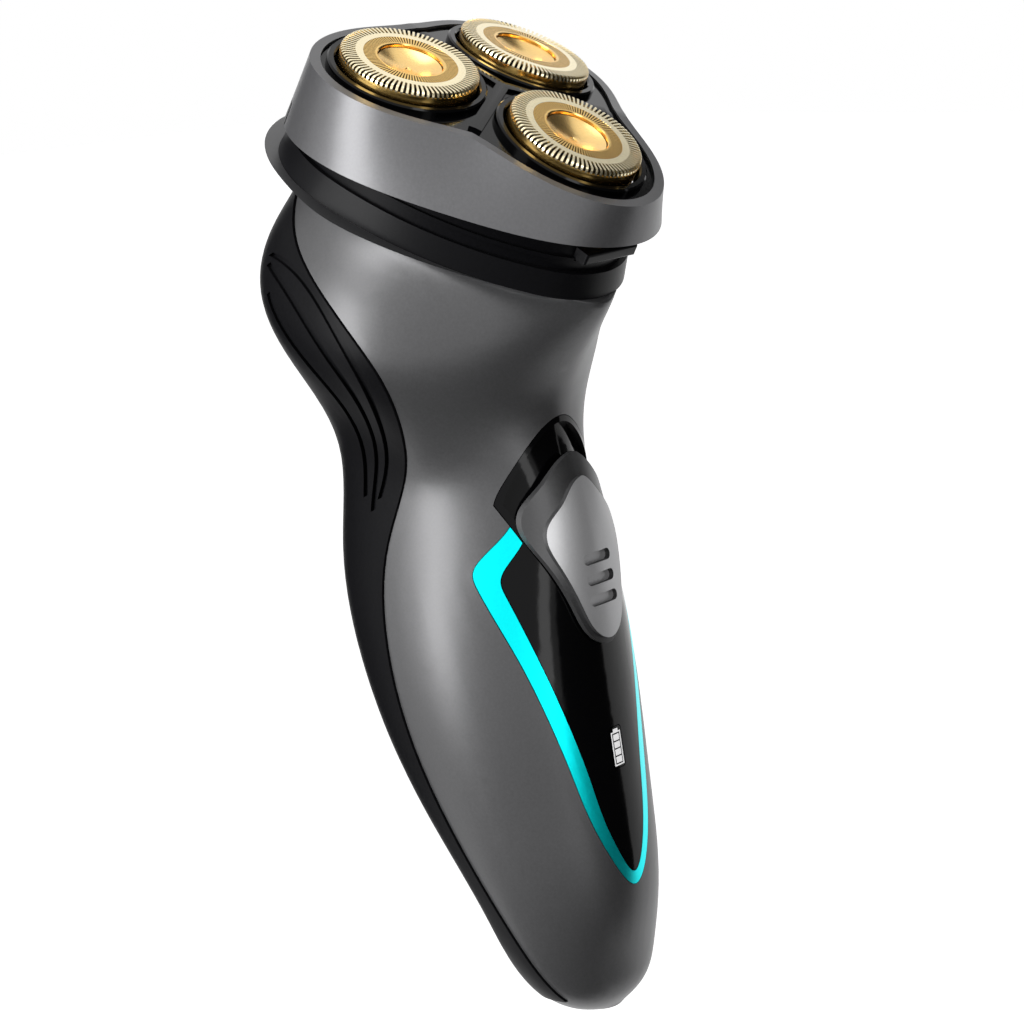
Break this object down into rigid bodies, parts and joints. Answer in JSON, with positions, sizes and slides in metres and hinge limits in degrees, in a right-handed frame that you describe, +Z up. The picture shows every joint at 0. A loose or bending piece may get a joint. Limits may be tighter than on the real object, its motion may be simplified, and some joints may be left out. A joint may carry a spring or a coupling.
{
  "type": "electric shaver",
  "caption": "Cordless rotary shaver: waisted handle with slide switch and V-shaped trim, and a tilted trefoil head of floating slotted caps that swings open on a rear hinge.",
  "frame": {"origin": "the middle of the grip, inside the handle on its left-right mid plane", "axes": "+Z up the handle towards the head, -Y the front with the switch and the trim, +X the object's left hand side seen from the back"},
  "size_m": [0.0608, 0.0636, 0.1545],
  "materials": {
    "gunmetal_shell": "satin metallic paint on moulded plastic",
    "gunmetal_bezel": "satin metallic paint on moulded plastic",
    "black_cover": "fine matt soft-touch black",
    "black_collar": "satin black moulding",
    "black_gloss": "polished black moulding",
    "teal_trim": "polished metallic teal",
    "silver_switch": "satin silver paint",
    "gauge_white": "printed translucent window",
    "gold_cap": "polished gold-coloured steel foil",
    "gold_dish": "mirror-polished gold-coloured disc",
    "blade_steel": "ground steel",
    "bright_steel": "plated steel",
    "nickel_tab": "nickel strip",
    "gear_nylon": "natural moulded nylon",
    "spindle_acetal": "natural moulded acetal",
    "pinion_brass": "cut brass",
    "grey_frame": "dark grey moulding",
    "board_green": "printed circuit board",
    "cell_wrap": "shrink-wrapped can",
    "black_rubber": "moulded rubber",
    "socket_black": "moulded socket"
  },
  "bodies": {
    "handle": {"front_shell": "gunmetal_shell", "rear_cover": "black_cover", "cover_screws": "bright_steel", "display_panel": "black_gloss", "battery_gauge": "gauge_white", "accent_trim": "teal_trim", "circuit_board": "board_green", "battery_cell": "cell_wrap", "battery_tabs": "nickel_tab", "chassis": "grey_frame", "charging_socket": "socket_black", "collar": "black_collar", "hinge_pin": "bright_steel", "collar_gasket": "black_rubber", "release_spring": "bright_steel", "gear_plate": "grey_frame", "gear_axles": "bright_steel", "plate_screws": "bright_steel", "motor_can": "bright_steel", "motor_end_cap": "grey_frame", "motor_screws": "bright_steel", "shaft_seals": "black_rubber"},
    "head": {"head_bezel": "gunmetal_bezel", "head_plate": "black_gloss", "cutter_frame": "grey_frame", "seat_ring_1": "black_gloss", "seat_ring_2": "black_gloss", "seat_ring_3": "black_gloss"},
    "lock": {"lock_wheel": "grey_frame"},
    "button": {"release_button": "black_collar"},
    "switch": {"slide_switch": "silver_switch", "switch_carriage": "grey_frame"},
    "rotor": {"motor_shaft": "bright_steel", "pinion": "pinion_brass"},
    "gear_1": {"drive_gear_1": "gear_nylon", "spindle_spring_1": "bright_steel"},
    "spindle_1": {"spindle_1": "spindle_acetal"},
    "cap_1": {"foil_cap_1": "gold_cap", "cap_dish_1": "gold_dish"},
    "cutter_1": {"cutter_1": "blade_steel"},
    "gear_2": {"drive_gear_2": "gear_nylon", "spindle_spring_2": "bright_steel"},
    "spindle_2": {"spindle_2": "spindle_acetal"},
    "cap_2": {"foil_cap_2": "gold_cap", "cap_dish_2": "gold_dish"},
    "cutter_2": {"cutter_2": "blade_steel"},
    "gear_3": {"drive_gear_3": "gear_nylon", "spindle_spring_3": "bright_steel"},
    "spindle_3": {"spindle_3": "spindle_acetal"},
    "cap_3": {"foil_cap_3": "gold_cap", "cap_dish_3": "gold_dish"},
    "cutter_3": {"cutter_3": "blade_steel"}
  },
  "joints": [
    {"name": "head_flip", "type": "hinge", "parent": "handle", "child": "head", "pos_m": [0, 0.02002, 0.08947], "axis": [-1, 0, 0], "range_deg": [0, 110]},
    {"name": "release_push", "type": "slide", "parent": "handle", "child": "button", "axis": [0, 0.866, 0.5], "range_m": [0, 0.0012], "stiffness_N_per_m": 900, "springref_m": -0.0015, "deforming": ["release_spring"]},
    {"name": "switch_slide", "type": "slide", "parent": "handle", "child": "switch", "axis": [0, 0.1805, 0.9836], "range_m": [0, 0.005]},
    {"name": "motor_spin", "type": "hinge", "parent": "handle", "child": "rotor", "pos_m": [0, -0.008, 0.086], "axis": [0, -0.5, 0.866], "continuous": true},
    {"name": "gear_spin_1", "type": "hinge", "parent": "handle", "child": "gear_1", "pos_m": [0, -0.02082, 0.0786], "axis": [0, -0.5, 0.866], "continuous": true},
    {"name": "cap_float_1", "type": "slide", "parent": "head", "child": "cap_1", "axis": [0, -0.5764, 0.8171], "range_m": [-0.0016, 0], "stiffness_N_per_m": 500, "springref_m": 0.002},
    {"name": "spindle_slide_1", "type": "slide", "parent": "gear_1", "child": "spindle_1", "axis": [0, -0.5, 0.866], "range_m": [-0.0016, 0], "deforming": ["spindle_spring_1"]},
    {"name": "cutter_spin_1", "type": "hinge", "parent": "cap_1", "child": "cutter_1", "pos_m": [0, -0.01782, 0.0734], "axis": [0, -0.5764, 0.8171], "continuous": true},
    {"name": "gear_spin_2", "type": "hinge", "parent": "handle", "child": "gear_2", "pos_m": [0.01282, -0.00159, 0.0897], "axis": [0, -0.5, 0.866], "continuous": true},
    {"name": "cap_float_2", "type": "slide", "parent": "head", "child": "cap_2", "axis": [0.0785, -0.4587, 0.8851], "range_m": [-0.0016, 0], "stiffness_N_per_m": 500, "springref_m": 0.002},
    {"name": "spindle_slide_2", "type": "slide", "parent": "gear_2", "child": "spindle_2", "axis": [0, -0.5, 0.866], "range_m": [-0.0016, 0], "deforming": ["spindle_spring_2"]},
    {"name": "cutter_spin_2", "type": "hinge", "parent": "cap_2", "child": "cutter_2", "pos_m": [0.01282, 0.00141, 0.0845], "axis": [0.0785, -0.4587, 0.8851], "continuous": true},
    {"name": "gear_spin_3", "type": "hinge", "parent": "handle", "child": "gear_3", "pos_m": [-0.01282, -0.00159, 0.0897], "axis": [0, -0.5, 0.866], "continuous": true},
    {"name": "cap_float_3", "type": "slide", "parent": "head", "child": "cap_3", "axis": [-0.0785, -0.4587, 0.8851], "range_m": [-0.0016, 0], "stiffness_N_per_m": 500, "springref_m": 0.002},
    {"name": "spindle_slide_3", "type": "slide", "parent": "gear_3", "child": "spindle_3", "axis": [0, -0.5, 0.866], "range_m": [-0.0016, 0], "deforming": ["spindle_spring_3"]},
    {"name": "cutter_spin_3", "type": "hinge", "parent": "cap_3", "child": "cutter_3", "pos_m": [-0.01282, 0.00141, 0.0845], "axis": [-0.0785, -0.4587, 0.8851], "continuous": true},
    {"name": "lock_turn", "type": "hinge", "parent": "head", "child": "lock", "pos_m": [0, -0.008, 0.086], "axis": [0, -0.5, 0.866], "range_deg": [0, 90]}
  ],
  "couplings": [
    {"joint": "gear_spin_1", "follows": "motor_spin", "ratio": -0.42308},
    {"joint": "spindle_slide_1", "follows": "cap_float_1", "ratio": 1},
    {"joint": "cutter_spin_1", "follows": "motor_spin", "ratio": -0.42308},
    {"joint": "gear_spin_2", "follows": "motor_spin", "ratio": -0.42308},
    {"joint": "spindle_slide_2", "follows": "cap_float_2", "ratio": 1},
    {"joint": "cutter_spin_2", "follows": "motor_spin", "ratio": -0.42308},
    {"joint": "gear_spin_3", "follows": "motor_spin", "ratio": -0.42308},
    {"joint": "spindle_slide_3", "follows": "cap_float_3", "ratio": 1},
    {"joint": "cutter_spin_3", "follows": "motor_spin", "ratio": -0.42308}
  ]
}
